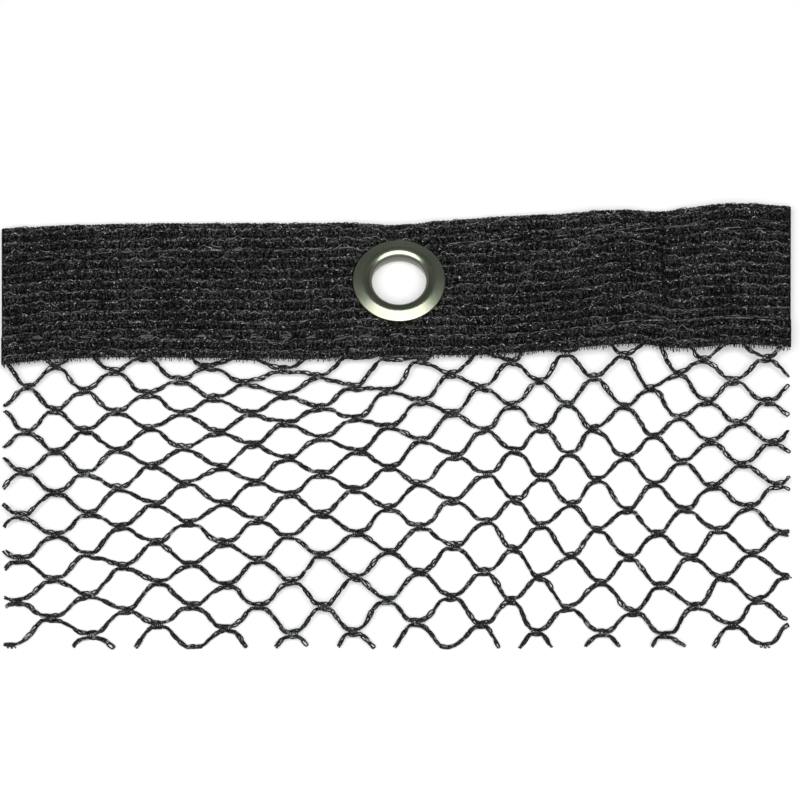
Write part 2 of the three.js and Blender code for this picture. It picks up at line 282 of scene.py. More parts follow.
def netPlace(axis, column, row):
    r0, r1, r2 = net["rows"]
    p0, p1, p2 = (along(netColumns, "column", column, f"{axis}{r}") for r in net["rows"])
    return (
        p0 * (row - r1) * (row - r2) / ((r0 - r1) * (r0 - r2))
        + p1 * (row - r0) * (row - r2) / ((r1 - r0) * (r1 - r2))
        + p2 * (row - r0) * (row - r1) / ((r2 - r0) * (r2 - r1))
    )


def junction(column, row):
    x = netPlace("x", column, row) + net["wander"] * wander(column, row)
    return x, netPlace("y", column, row) + net["wander"] * wander(column + 50, row + 50)


def chainAtColumn(chain, column):
    touchesBelow = (column + chain) % 2 == 0
    x, y = junction(column, np.where(touchesBelow, chain + 1, chain))
    return x, y + np.where(touchesBelow, 0.5, -0.5) * net["strand"]


# The middle line of a chain, and where on it two chains lie together.
def chainPath(chain):
    steps = net["steps"]
    columns = np.repeat(np.arange(*net["columns"]), steps)
    t = np.tile(np.arange(steps) / steps, len(columns) // steps)
    x0, y0 = chainAtColumn(chain, columns)
    x1, y1 = chainAtColumn(chain, columns + 1)
    share = ease((t - net["fused"]) / (1 - 2 * net["fused"]))
    together = (t < net["fused"]) | (t > 1 - net["fused"])
    return mix(x0, x1, t), mix(y0, y1, share), together


def insideNet(x, y):
    margin = np.where(y > footY(x), net["bandMargin"], net["margin"])
    withinSides = (x > sideX("left", y) + margin) & (x < sideX("right", y) - margin)
    top = footY(x) + band["pocket"] - clearance
    return withinSides & (y > cut["nearY"] + net["margin"]) & (y < top)


# Start and end of each unbroken stretch of kept points.
def stretches(keep):
    edges = np.flatnonzero(np.diff(np.concatenate([[0], keep.astype(int), [0]])))
    return edges.reshape(-1, 2)


# A smooth line through points, with this many steps between two of them.
def smooth(points, steps):
    p = np.concatenate([2 * points[:1] - points[1:2], points, 2 * points[-1:] - points[-2:-1]])
    a, b, c, d = p[:-3, None], p[1:-2, None], p[2:-1, None], p[3:, None]
    t = (np.arange(steps) / steps)[None, :, None]
    curve = b + t / 2 * (c - a + t * (2 * a - 5 * b + 4 * c - d + t * (3 * (b - c) + d - a)))
    return np.concatenate([curve.reshape(-1, points.shape[1]), points[-1:]])


# Half the width and half the height of each kind of yarn.
yarnSize = {
    "netLoop": (0.18, 0.15),
    "netInlay": (0.16, 0.1),
    "netTie": (0.12, 0.11),
    "wale": (0.15, 0.12),
    "arch": (0.14, 0.11),
    "crest": (0.11, 0.09),
    "float": (0.14, 0.1),
    "backFloat": (0.2, 0.09),
    "whisker": (0.1, 0.1),
    "fleck": (0.13, 0.1),
    "thread": (0.075, 0.075),
    "threadLoop": (0.11, 0.11),
}


# Skins four-sided yarns round lines of points, all of them with the same number of points.
def yarnSkin(lines, wide, high):
    lines = np.asarray(lines, float)
    ahead = np.gradient(lines, axis=1)
    ahead /= np.linalg.norm(ahead, axis=2, keepdims=True) + 1e-9
    across = np.cross(ahead, (0, 0, 1))
    across /= np.linalg.norm(across, axis=2, keepdims=True) + 1e-9
    up = np.cross(across, ahead)
    rings = np.stack([across * wide, up * high, -across * wide, -up * high], axis=2)
    vertices = (lines[:, :, None] + rings).reshape(-1, 3)
    count, length = lines.shape[:2]
    ring = np.arange(count * length).reshape(count, length, 1) * 4
    start, side = ring[:, :-1], np.arange(4)[None, None]
    after = (side + 1) % 4
    walls = np.stack([start + side, start + after, start + 4 + after, start + 4 + side], axis=-1)
    ends = [ring[:, 0] + np.array([[3, 2, 1, 0]]), ring[:, -1] + np.array([[0, 1, 2, 3]])]
    return vertices, np.concatenate([walls.reshape(-1, 4), *ends])


class YarnPile:
    def __init__(self):
        self.vertices, self.faces, self.count = [], [], 0

    def lay(self, lines, wide, high):
        if len(lines) == 0:
            return
        vertices, faces = yarnSkin(lines, wide, high)
        self.vertices.append(vertices)
        self.faces.append(faces + self.count)
        self.count += len(vertices)

    def piece(self, name, slot):
        return meshPiece(name, np.concatenate(self.vertices), np.concatenate(self.faces))


def meshPiece(name, vertices, faces):
    mesh = bpy.data.meshes.new(name)
    mesh.from_pydata(np.asarray(vertices) * metres, [], faces)
    mesh.shade_smooth()
    mesh.validate()
    piece = bpy.data.objects.new(name, mesh)
    bpy.context.scene.collection.objects.link(piece)
    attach(piece, "root")
    print(name, len(mesh.polygons), "faces")
    return piece


# One stitch of a chain: along it in pitches, across it in half widths, and its height.
netStitch = np.array(
    [
        (0.00, -0.30, 0.45),
        (0.45, -1.00, 0.74),
        (1.05, -0.80, 0.74),
        (1.34, 0.10, 0.58),
        (0.95, 0.95, 0.74),
        (0.10, 0.55, 0.50),
        (0.55, 0.45, 0.18),
    ]
)
ribStitch = np.array(
    [
        (0.00, -0.35, 0.04),
        (0.72, -1.00, 0.20),
        (1.30, 0.00, 0.16),
        (0.72, 1.00, 0.20),
        (0.12, 0.35, 0.04),
    ]
)


# How far a stitch strays from a regular row.
stray = {"start": 0.12, "width": (0.72, 1.12), "sway": 0.5, "swayWaves": (7.7, 12.9), "jitter": 0.04}


# A row of stitches as points of length along the row, distance across it and height.
def stitchRow(stitch, length, pitch, halfWidth):
    count = max(1, round(length / pitch))
    step = length / count
    starts = (np.arange(count) + rng.uniform(-stray["start"], stray["start"], count)) * step
    sway = rng.uniform(*stray["width"], count)
    wide = halfWidth * sway * (1 + drift(starts, stray["sway"], stray["swayWaves"]))
    points = np.empty((count, len(stitch), 3))
    points[..., 0] = starts[:, None] + stitch[:, 0] * step
    points[..., 1] = wide[:, None] * stitch[:, 1]
    points[..., 2] = stitch[:, 2]
    points[..., 1] += rng.normal(0, stray["jitter"], points.shape[:2])
    row = smooth(points.reshape(-1, 3), 2)
    row[:, 0] = np.clip(row[:, 0], 0, length)
    return row


# Lays such a row on a line in the plane: x and y of each of its points.
def onLine(row, x, y):
    travelled = np.concatenate([[0], np.cumsum(np.hypot(np.diff(x), np.diff(y)))])
    dx, dy = np.gradient(x), np.gradient(y)
    size = np.hypot(dx, dy) + 1e-9
    aheadX = np.interp(row[:, 0], travelled, dx / size)
    aheadY = np.interp(row[:, 0], travelled, dy / size)
    middleX, middleY = np.interp(row[:, 0], travelled, x), np.interp(row[:, 0], travelled, y)
    return middleX - row[:, 1] * aheadY, middleY + row[:, 1] * aheadX


def lineLength(x, y):
    return float(np.hypot(np.diff(x), np.diff(y)).sum())


# A slow, uneven drift from side to side, for lines that aren't laid by a machine.
def drift(distance, size, waves):
    total = np.zeros_like(distance, dtype=float)
    for wavelength in waves:
        total += np.sin(2 * np.pi * (distance / wavelength + rng.uniform()))
    return size * total / len(waves)


print("netting")
netYarn = {
    "pitch": 2.05,
    "halfWidth": 0.35,
    "drift": 0.22,
    "driftWaves": (3.1, 5.3, 8.9),
    "pointGap": 0.3,
    "fewestPoints": 8,
    "inlayGap": 0.5,
    "inlaySwing": 0.4,
    "inlayTurn": 0.95,
    "inlaySharpness": 2.2,
    "inlayHeight": 0.32,
    "tieLength": 2.1,
    "tieSwing": 0.5,
    "tieTurns": 2.5,
    "tieHeight": 0.46,
    "tieLift": 0.26,
}
anyPhase = (0, 6)


def netLine(x, y, row):
    px, py = onLine(row, x, y)
    return np.stack([px, py, netRise(px, py) + row[:, 2]], axis=-1)


def makeNetting():
    loops, inlay, ties = YarnPile(), YarnPile(), YarnPile()
    for chain in range(*net["chains"]):
        x, y, together = chainPath(chain)
        distance = np.arange(len(x)) * netYarn["pointGap"]
        y = y + drift(distance, netYarn["drift"], netYarn["driftWaves"])
        for start, end in stretches(insideNet(x, y)):
            px, py = x[start:end], y[start:end]
            if end - start < netYarn["fewestPoints"] or not together[start:end].any():
                continue
            length = lineLength(px, py)
            row = stitchRow(netStitch, length, netYarn["pitch"], netYarn["halfWidth"])
            loops.lay([netLine(px, py, row)], *yarnSize["netLoop"])
            s = np.linspace(0, length, max(4, int(length / netYarn["inlayGap"])))
            wave = np.sin(s / netYarn["inlayTurn"] + rng.uniform(*anyPhase))
            swing = netYarn["inlaySwing"] * np.tanh(netYarn["inlaySharpness"] * wave)
            under = np.stack([s, swing, netYarn["inlayHeight"] + 0.1 * np.sin(s / 0.4)], axis=-1)
            inlay.lay([netLine(px, py, under)], *yarnSize["netInlay"])
    for row in range(net["chains"][0], net["chains"][1] + 1):
        for column in range(*net["columns"]):
            if (column + row) % 2 == 0:
                continue
            x, y = junction(column, row)
            if not insideNet(x, y):
                continue
            t = np.linspace(0, 1, 21)
            turn = 2 * np.pi * netYarn["tieTurns"] * t + rng.uniform(*anyPhase)
            px = x + (t - 0.5) * netYarn["tieLength"]
            py = y + netYarn["tieSwing"] * np.sin(turn) * (1 - 0.4 * np.abs(2 * t - 1))
            pz = netRise(px, py) + netYarn["tieHeight"] + netYarn["tieLift"] * np.cos(turn)
            ties.lay([np.stack([px, py, pz], axis=-1)], *yarnSize["netTie"])
    return (
        loops.piece("netting_chains", "netting"),
        inlay.piece("netting_inlay", "netting"),
        ties.piece("netting_ties", "netting"),
    )


netChains, netInlay, netTies = makeNetting()
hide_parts("netting")

print("heading band")
bandMesh = {
    "stations": 150,
    "frontSteps": 78,
    "backSteps": 40,
    "innerSteps": 16,
    "foldSteps": 8,
    "foldReach": 70,
    "skin": 0.05,  # the inner faces lie this far within the solid
    "hole": 7.0,
    "holeSteps": 64,
    "punchDepth": 30,
}
# Where the inside of the front leaf is stepped, closest where the pocket narrows.
pocketShares = (1, 0.8, 0.6, 0.4, 0.29, 0.25, 0.21, 0.17, 0.13, 0.06, 0)


# Points along the band, from its left cut to its right cut, at a set distance above its foot.
def acrossBand(stations, height):
    s = np.linspace(0, 1, stations)
    x = mix(cut["left"][1], cut["right"][1], s)
    for _ in range(3):
        y = height(x)
        x = mix(sideX("left", y), sideX("right", y), s)
    return x, height(x)


def makeBandCloth():
    rows = []
    for share in np.linspace(0, 1, bandMesh["frontSteps"] + 1):
        x, y = acrossBand(bandMesh["stations"], lambda at: bandY(at, share))
        rows.append((x, y, frontCloth(x, y)))
    radius = foldRadius - band["knitDepth"]
    reach = bandMesh["foldReach"]
    for angle in np.radians(np.linspace(reach, -reach, bandMesh["foldSteps"] + 1)):
        x, y = acrossBand(
            bandMesh["stations"], lambda at: foldY(at) - foldRadius + radius * math.cos(angle)
        )
        rows.append((x, y, clothRise(x, y) + foldRadius + radius * math.sin(angle)))
    backShares = np.linspace(1, 0, bandMesh["backSteps"] + 1)
    innerShares = np.linspace(0, 1, bandMesh["innerSteps"] + 1)
    innerLift = band["leaf"] - bandMesh["skin"]
    for shares, lift in ((backShares, band["knitDepth"]), (innerShares, innerLift)):
        for share in shares:
            x, y = acrossBand(
                bandMesh["stations"],
                lambda at: mix(footY(at) + band["backShort"], foldY(at) - foldRadius, share),
            )
            rows.append((x, y, clothRise(x, y) + lift))
    for share in pocketShares:
        x, y = acrossBand(
            bandMesh["stations"], lambda at: mix(footY(at), foldY(at) - foldRadius, share)
        )
        inner = band["leaf"] + leafGap(y - footY(x)) + bandMesh["skin"]
        rows.append((x, y, clothRise(x, y) + inner))
    grid = np.stack([np.stack(row, axis=-1) for row in rows], axis=1)
    stations, around = grid.shape[:2]
    index = np.arange(stations * around).reshape(stations, around)
    following = np.roll(index, -1, axis=1)
    quads = np.stack([index[:-1], index[1:], following[1:], following[:-1]], axis=-1)
    ends = [index[0].tolist(), index[-1][::-1].tolist()]
    faces = [*quads.reshape(-1, 4).tolist(), *ends]
    return punched(meshPiece("band_cloth", grid.reshape(-1, 3), faces))


# Cuts the hole that the eyelet's barrel passes through.
def punched(cloth):
    bpy.ops.mesh.primitive_cylinder_add(
        vertices=bandMesh["holeSteps"],
        radius=bandMesh["hole"] * metres,
        depth=bandMesh["punchDepth"] * metres,
        location=(eyelet["x"] * metres, eyelet["y"] * metres, 0),
    )
    punch = bpy.context.object
    hole = cloth.modifiers.new("hole", "BOOLEAN")
    hole.operation, hole.object, hole.solver = "DIFFERENCE", punch, "EXACT"
    evaluated = cloth.evaluated_get(bpy.context.evaluated_depsgraph_get())
    mesh = bpy.data.meshes.new_from_object(evaluated)
    cloth.modifiers.clear()
    cloth.data = mesh
    bpy.data.objects.remove(punch)
    print("hole cut,", len(mesh.polygons), "faces")
    return cloth


bandYarn = {
    "pitch": 1.15,
    "halfWidth": 0.46,
    "archPitch": 1.95,
    "floatPitch": 0.75,
    "floatStray": 0.14,
    "floatReach": 0.42,  # of a rib, to each side of a valley
    "shareEnds": (0.002, 0.998),
    "pointGap": 0.4,
    "fewestPoints": 6,
    "drift": 0.16,
    "driftWaves": (7.3, 13.1),
    "underFlange": 9.4,
    "cutMargin": 0.15,
    "whiskerPitch": 0.36,
    "whiskerLength": (0.15, 0.95),
    "whiskerRoot": 0.6,
}


def betweenCuts(x, y):
    margin = bandYarn["cutMargin"]
    return (x > sideX("left", y) + margin) & (x < sideX("right", y) - margin)


# On the band's face, clear of the flange and of the deepest part of the crease.
def onBand(x, y):
    inGroove = (np.abs(x - crease["x"]) < 0.2) & (np.abs(bandShare(x, y) - 0.55) < 0.25)
    return betweenCuts(x, y) & ~inGroove & (fromEyelet(x, y) > bandYarn["underFlange"])


# One arch of the knit: along its rib, up the band and in height, in millimetres.
archShape = np.array(
    [
        (-0.50, -1.45, 0.00),
        (-0.72, -0.70, 0.06),
        (-0.60, 0.00, 0.20),
        (-0.20, 0.26, 0.26),
        (0.26, 0.24, 0.26),
        (0.66, -0.04, 0.20),
        (0.66, -0.75, 0.06),
        (0.36, -1.45, 0.00),
        (0.95, -1.30, -0.02),
    ]
)


# Lays a row of points, as made by stitchRow, on a rib of the band's front.
def ribLine(row, x, y, height):
    lx, ly = onLine(row, x, y)
    lx = np.clip(lx, sideX("left", ly) + 0.2, sideX("right", ly) - 0.2)
    foldStart = foldY(lx) - foldRadius
    ly = np.clip(ly, footY(lx) - 0.1, foldStart + 0.75 * foldRadius)
    drop = foldRadius - np.sqrt(foldRadius**2 - np.maximum(0, ly - foldStart) ** 2)
    return np.stack([lx, ly, frontCloth(lx, ly) + height + row[:, 2] - drop], axis=-1)


def archRow(length):
    count = int(length / bandYarn["archPitch"])
    middles = (np.arange(count) + 0.5 + rng.uniform(-0.14, 0.14, count)) * length / count
    shape = np.repeat(archShape[None], count, axis=0)
    shape[..., 0] *= rng.uniform(0.65, 1.25, count)[:, None]
    shape[..., 1] *= rng.uniform(0.6, 1.15, count)[:, None]
    shape += rng.normal(0, 0.1, shape.shape) * (1, 1, 0.6)
    shape[..., 0] += middles[:, None] + shape[..., 1] * rng.normal(0, 0.12, count)[:, None]
    return smooth(shape.reshape(-1, 3), 2)


# The yarn along a rib's crest rises and falls in short uneven bows. It is coloured much lighter than
# the rest of the knit, as a painted highlight on the crests.
def crestRow(length):
    s = np.arange(0, length, 0.22)
    bows = s / bandYarn["archPitch"] + drift(s, 0.25, (9.1, 14.7))
    swing = 0.62 * np.abs(np.sin(np.pi * bows)) ** 0.8 - 0.1 + drift(s, 0.8, (6.3, 10.7))
    swing = swing * (0.75 + drift(s, 0.45, (2.9, 5.3))) + rng.normal(0, 0.06, len(s))
    sunk = drift(s, 0.3, (2.3, 4.1, 7.7)) - 0.1
    return np.stack([s, swing, 0.04 * np.sin(2 * np.pi * bows) + sunk], axis=-1)


# The knitted wales: along each rib a fine chain of loops, upright arches and a crest yarn.
def makeRibs():
    loops, arches, crests = YarnPile(), YarnPile(), YarnPile()
    for share in [*(np.arange(band["ribs"]) + 0.5) / band["ribs"], 1.0]:
        x = np.arange(cut["left"][1], cut["right"][1], bandYarn["pointGap"])
        y = bandY(x, share) + drift(x, bandYarn["drift"], bandYarn["driftWaves"])
        for start, end in stretches(onBand(x, y)):
            if end - start < bandYarn["fewestPoints"]:
                continue
            px, py = x[start:end], y[start:end]
            length = lineLength(px, py)
            row = stitchRow(ribStitch, length, bandYarn["pitch"], bandYarn["halfWidth"])
            loops.lay([ribLine(row, px, py, 0.06)], *yarnSize["wale"])
            arches.lay([ribLine(archRow(length), px, py, 0.08)], *yarnSize["arch"])
            crests.lay([ribLine(crestRow(length), px, py, 0.4)], *yarnSize["crest"])
    return (
        loops.piece("band_wales", "band"),
        arches.piece("band_arches", "band"),
        crests.piece("band_crests", "band"),
    )


# The laid-in yarns that cross the valleys from one rib to the next, and go round the fold.
def makeFloats():
    front, back = YarnPile(), YarnPile()
    ribs, scatter, reach = band["ribs"], bandYarn["floatStray"], bandYarn["floatReach"]
    lowest, highest = bandYarn["shareEnds"]
    t = np.linspace(0, 1, 4)[None]
    for valley in range(ribs + 1):
        x = np.arange(cut["left"][1], cut["right"][1], bandYarn["floatPitch"])
        x = x + rng.uniform(-scatter, scatter, len(x))
        lean = rng.uniform(-0.22, 0.22, len(x)) + 0.14 * (-1) ** np.arange(len(x))
        low, high = (valley - reach) / ribs, (valley + reach) / ribs
        share = mix(max(low, lowest), min(high, highest), t)
        lx = x[:, None] + lean[:, None] * (t - 0.5) * 2
        ly = bandY(lx, share)
        lz = frontCloth(lx, ly) + 0.09 + 0.05 * np.abs(2 * t - 1)
        keep = onBand(lx, ly).all(axis=1)
        front.lay(np.stack([lx, ly, lz], axis=-1)[keep], *yarnSize["float"])
        ly = mix(footY(lx) + band["backShort"], foldY(lx) - foldRadius, share)
        lz = backCloth(lx, ly) - 0.1
        keep = onBand(lx, ly).all(axis=1)
        back.lay(np.stack([lx, ly, lz], axis=-1)[keep][::-1][::2], *yarnSize["backFloat"])
    angle = np.linspace(0.5, -0.5, 7)[None] * np.pi
    x = np.arange(cut["left"][1] + 0.9, cut["right"][1] - 0.6, bandYarn["floatPitch"])
    x = x + rng.uniform(-scatter, scatter, len(x))
    lx = x[:, None] + rng.uniform(-0.2, 0.2, len(x))[:, None] * angle
    radius = foldRadius - 0.12
    ly = foldY(lx) - foldRadius + radius * np.cos(angle)
    lz = clothRise(lx, ly) + foldRadius + radius * np.sin(angle)
    front.lay(np.stack([lx, ly, lz], axis=-1), *yarnSize["float"])
    return front.piece("band_floats", "band"), back.piece("band_back_floats", "band")


# Cut ends of the laid-in yarns stand out below the front leaf.
def makeWhiskers():
    pile = YarnPile()
    x = np.arange(cut["left"][1] + 1.6, cut["right"][1] - 1.8, bandYarn["whiskerPitch"])
    x = x + rng.uniform(-0.12, 0.12, len(x))
    reach = rng.uniform(*bandYarn["whiskerLength"], len(x)) * (1 + 0.25 * np.sin(x / 3.1))
    lean = rng.normal(0, 0.16, len(x))
    t = np.linspace(0, 1, 5)[None]
    lx = x[:, None] + lean[:, None] * t**1.5
    root = bandYarn["whiskerRoot"]
    ly = footY(x)[:, None] + root - (reach[:, None] + root) * t
    top = band["leaf"] * 1.6 + band["wideGap"] + clothRise(x, footY(x))
    lz = top[:, None] - 0.5 * t**2 * rng.uniform(0.2, 1.3, len(x))[:, None]
    keep = betweenCuts(lx, ly).all(axis=1)
    pile.lay(np.stack([lx, ly, lz], axis=-1)[keep], *yarnSize["whisker"])
    return pile.piece("band_whiskers", "band")


flecks = {"count": 70, "from": -87, "to": 86, "length": (0.12, 0.34), "turn": 0.7, "height": 0.5}


# Broken filaments that stand proud of the knit here and there, coloured light grey as painted glints.
def makeFlecks():
    pile = YarnPile()
    count = flecks["count"]
    x = rng.uniform(flecks["from"], flecks["to"], count)
    y = bandY(x, 0.04 + 0.92 * rng.uniform(0, 1, count) ** 0.8)
    turn = rng.normal(0, flecks["turn"], count)
    size = rng.uniform(*flecks["length"], count)
    t = np.linspace(-1, 1, 5)[None]
    lx = x[:, None] + (size * np.cos(turn))[:, None] * t
    ly = y[:, None] + (size * np.sin(turn))[:, None] * t
    lz = frontCloth(lx, ly) + flecks["height"] - 0.12 * t**2
    keep = (fromEyelet(lx, ly) > eyelet["flange"] + 0.4).all(axis=1)
    pile.lay(np.stack([lx, ly, lz], axis=-1)[keep], *yarnSize["fleck"])
    return pile.piece("band_flecks", "band")


sewing = {"pitch": 6.3, "stray": 0.5, "frontHeight": 0.5, "backHeight": 0.13, "sink": 0.45}
# A loose loop of thread lies on the band, open at one side.
threadLoop = {"middle": (-41.0, 44.3), "radii": (1.6, 0.9), "from": 30, "to": 260, "turn": 0.6}
# Tight stitches bunch their strands, and slack ones lie long and thin across the knit.
sewingKinds = table(
    "shortest longest spread slant shorter hidden",
    [
        (2.6, 4.4, 0.36, 0.3, 0.5, 0.1),
        (4.2, 7.4, 0.12, 0.9, 0.3, 0.4),
    ],
)
# How far the upper row runs below the fold and the lower row above the foot.
sewingCourse = table(
    "x below above",
    [
        (-91, 9.2, 5.9),
        (-66, 8.1, 4.9),
        (-33, 7.6, 5.3),
        (0, 7.2, 4.7),
        (34, 6.3, 4.5),
        (52, 5.5, 5.3),
        (60, 5.1, 6.5),
        (70, 5.6, 7.1),
        (76, 7.0, 6.3),
        (91, 7.2, 6.0),
    ],
)


def sewingY(row, x):
    if row == "above":
        return footY(x) + along(sewingCourse, "x", x, row)
    return foldY(x) - along(sewingCourse, "x", x, row)


# Two rows of lockstitch. A stitch that shows on the front alternates with one on the back.
def makeSewing():
    pile = YarnPile()
    t = np.linspace(0, 1, 11)[None]
    for row in ("above", "below"):
        for face in ("front", "back"):
            shift = 0 if face == "front" else sewing["pitch"] / 2
            x = np.arange(cut["left"][1] + 1 + shift, cut["right"][1] - 6, sewing["pitch"])
            x = x + rng.uniform(-sewing["stray"], sewing["stray"], len(x))
            slack = ((x > 0) | (row == "below")).astype(int)
            kind = {name: column[slack] for name, column in sewingKinds.items()}
            length = rng.uniform(kind["shortest"], kind["longest"])
            slant = (kind["slant"] * rng.uniform(-0.1, 1, len(x)))[:, None]
            for side in (-1, 0, 1):
                apart = (side * kind["spread"])[:, None]
                shorter = (kind["shorter"] * rng.uniform(0, 1, len(x)))[:, None]
                early = rng.uniform(0, 1, len(x))[:, None] * shorter
                lx = x[:, None] + length[:, None] * (early + t * (1 - shorter))
                bow = mix(0.5, 1, np.sin(np.pi * t)) * rng.uniform(0.4, 1.4, len(x))[:, None]
                spread = apart * bow
                ly = sewingY(row, lx) + slant * (t - 0.5) + spread
                sink = sewing["sink"] * np.abs(2 * t - 1) ** 6
                if face == "front":
                    lz = frontCloth(lx, ly) + sewing["frontHeight"] - sink
                else:
                    lz = backCloth(lx, ly) - sewing["backHeight"] + sink
                keep = (fromEyelet(lx, ly) > eyelet["flange"] + 0.3).all(axis=1)
                keep &= (rng.uniform(0, 1, len(x)) > kind["hidden"]) & betweenCuts(lx, ly).all(axis=1)
                pile.lay(np.stack([lx, ly, lz], axis=-1)[keep], *yarnSize["thread"])
    angle = np.radians(np.linspace(threadLoop["from"], threadLoop["to"], 17)) + threadLoop["turn"]
    (middleX, middleY), (radiusX, radiusY) = threadLoop["middle"], threadLoop["radii"]
    lx, ly = middleX + radiusX * np.cos(angle), middleY + radiusY * np.sin(angle)
    pile.lay([np.stack([lx, ly, frontCloth(lx, ly) + 0.55], axis=-1)], *yarnSize["threadLoop"])
    return pile.piece("sewing_thread", "band")


bandCloth = makeBandCloth()
bandWales, bandArches, bandCrests = makeRibs()
bandFloats, bandBackFloats = makeFloats()
bandWhiskers = makeWhiskers()
bandFlecks = makeFlecks()
sewingThread = makeSewing()
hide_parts("heading_band")

print("eyelet and washer")


def arc(centre, radii, fromDegrees, toDegrees, steps):
    angles = np.radians(np.linspace(fromDegrees, toDegrees, steps + 1))
    return [(centre[0] + radii[0] * math.cos(a), centre[1] + radii[1] * math.sin(a)) for a in angles]


def turned(name, profile, steps=160):
    profile = np.array(profile)
    angles = np.linspace(0, 2 * np.pi, steps, endpoint=False)[:, None]
    rings = np.stack(
        [
            eyelet["x"] + profile[None, :, 0] * np.cos(angles),
            eyelet["y"] + profile[None, :, 0] * np.sin(angles),
            profile[None, :, 1] + 0 * angles,
        ],
        axis=-1,
    )
    index = np.arange(rings.shape[0] * rings.shape[1]).reshape(rings.shape[:2])
    turn, down = np.roll(index, -1, axis=0), np.roll(index, -1, axis=1)
    both = np.roll(turn, -1, axis=1)
    quads = np.stack([index, turn, both, down], axis=-1).reshape(-1, 4)
    return meshPiece(name, rings.reshape(-1, 3), quads)


# From the throat down the bore, under the rolled foot, up the barrel, out to the rim and back
# over the flange's shoulder and crown.
def makeEyelet():
    e = eyelet
    throat, barrel = e["throat"], e["throat"] + e["wall"]
    flare, flareZ, footEdge = e["flare"], e["flareHeight"], e["footThickness"] / 2
    flangeZ = washerRise + 2 * band["leaf"] + band["narrowGap"] + clearance
    throatZ, crownZ = flangeZ + e["throatRise"], flangeZ + e["crownRise"]
    shoulderZ, rimZ = flangeZ + e["shoulderRise"], flangeZ + e["rim"]
    return turned(
        "eyelet_ring",
        [
            *arc((flare, flareZ), (flare - throat, flareZ), 180, 270, 12),
            (e["foot"], 0),
            *arc((e["foot"], footEdge), (footEdge, footEdge), -60, 60, 4),
            (e["foot"], e["footThickness"]),
            *arc((flare, flareZ), (flare - barrel, flareZ - e["footThickness"]), 270, 180, 8),
            (barrel, flangeZ),
            (e["flange"] - 0.08, flangeZ),
            *arc((e["shoulder"], rimZ), (e["flange"] - e["shoulder"], shoulderZ - rimZ), 0, 75, 6),
            *arc((e["crown"], crownZ - e["crownRadius"]), (e["crownRadius"],) * 2, 66, 90, 6),
            *arc((e["crown"], throatZ), (e["crown"] - throat, crownZ - throatZ), 94, 180, 20),
        ],
    )


def makeWasher():
    w = washer
    bevel, edge, lip = w["bevel"], w["recessEdge"], w["boreEdge"]
    recessZ = eyelet["footThickness"] + clearance
    return turned(
        "washer_ring",
        [
            (w["inner"], recessZ),
            (w["recess"] - edge, recessZ),
            (w["recess"], recessZ - edge),
            (w["recess"], edge),
            (w["recess"] + edge, 0),
            *arc((w["outer"] - bevel, bevel), (bevel, bevel), -90, 0, 5),
            *arc((w["outer"] - bevel, w["thickness"] - bevel), (bevel, bevel), 0, 90, 5),
            (w["inner"] + lip, w["thickness"]),
            (w["inner"], w["thickness"] - lip),
        ],
    )


eyeletRing, washerRing = makeEyelet(), makeWasher()
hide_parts("eyelet")
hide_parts("washer")


# Shader values as Python expressions.
class Wire:
    def __init__(self, finish, socket):
        self.finish, self.socket = finish, socket

    def maths(self, operation, *others):
        inputs = dict(enumerate((self, *others)))
        return self.finish.node("ShaderNodeMath", {"operation": operation}, inputs)

    def __add__(self, other):
        return self.maths("ADD", other)

    def __mul__(self, other):
        return self.maths("MULTIPLY", other)

    __radd__, __rmul__ = __add__, __mul__

    def above(self, level, blur):
        inputs = {"Value": self, "From Min": level - blur, "From Max": level + blur}
        return self.finish.node("ShaderNodeMapRange", {"interpolation_type": "SMOOTHSTEP"}, inputs)


class Finish:
    def __init__(self, name, **fixed):
        self.material = bpy.data.materials.new(name)
        self.material.use_nodes = True
        self.tree = self.material.node_tree
        self.shader = self.tree.nodes["Principled BSDF"]
        for socket, value in fixed.items():
            self.shader.inputs[socket].default_value = value
        self.place = self.node("ShaderNodeTexCoord", {}, {}, "Object")

    def node(self, kind, settings, inputs, output=0):
        node = self.tree.nodes.new(kind)
        for name, value in settings.items():
            setattr(node, name, value)
        for socket, value in inputs.items():
            if isinstance(value, Wire):
                self.tree.links.new(value.socket, node.inputs[socket])
            else:
                node.inputs[socket].default_value = value
        return Wire(self, node.outputs[output])

    def noise(self, perMillimetre, detail):
        inputs = {"Vector": self.place, "Scale": perMillimetre / metres, "Detail": detail}
        return self.node("ShaderNodeTexNoise", {}, inputs)

    def colours(self, factor, first, second):
        inputs = {0: factor, 6: first, 7: second}
        return self.node("ShaderNodeMix", {"data_type": "RGBA"}, inputs, 2)

    def bump(self, height, distance, strength):
        inputs = {"Height": height, "Distance": distance * metres, "Strength": strength}
        return self.node("ShaderNodeBump", {}, inputs)

    def feed(self, **wires):
        for socket, wire in wires.items():
            self.tree.links.new(wire.socket, self.shader.inputs[socket.replace("_", " ")])

    def on(self, *pieces):
        for piece in pieces:
            piece.data.materials.clear()
            piece.data.materials.append(self.material)


def grey(value, tint=0.0):
    return (value * (1 - tint), value, value * (1 - tint), 1)


print("materials")


# A dull dark yarn that goes from one tone to another in short strands and in soft patches, with
# sparse painted glints: small spots of light colour that stand in for highlights.
def yarnFinish(name, dark, light, glint, settings):
    finish = Finish(name, **{"Specular IOR Level": settings["shine"]})
    strands = finish.noise(settings["strands"], 2)
    shade = strands + 0.25 * finish.noise(0.14, 2)
    # Painted glints: a sparse noise mask that paints light highlight spots into the yarn's colour.
    paintedGlints = finish.noise(settings["glints"], 1).above(settings["glintLevel"], 0.04)
    base = finish.colours(shade.above(settings["level"], 0.1), dark, light)
    finish.feed(
        Base_Color=finish.colours(paintedGlints, base, glint),
        Roughness=0.25 + 0.3 * strands,
        Normal=finish.bump(finish.noise(7, 2), 0.06, 0.6),
    )
    return finish


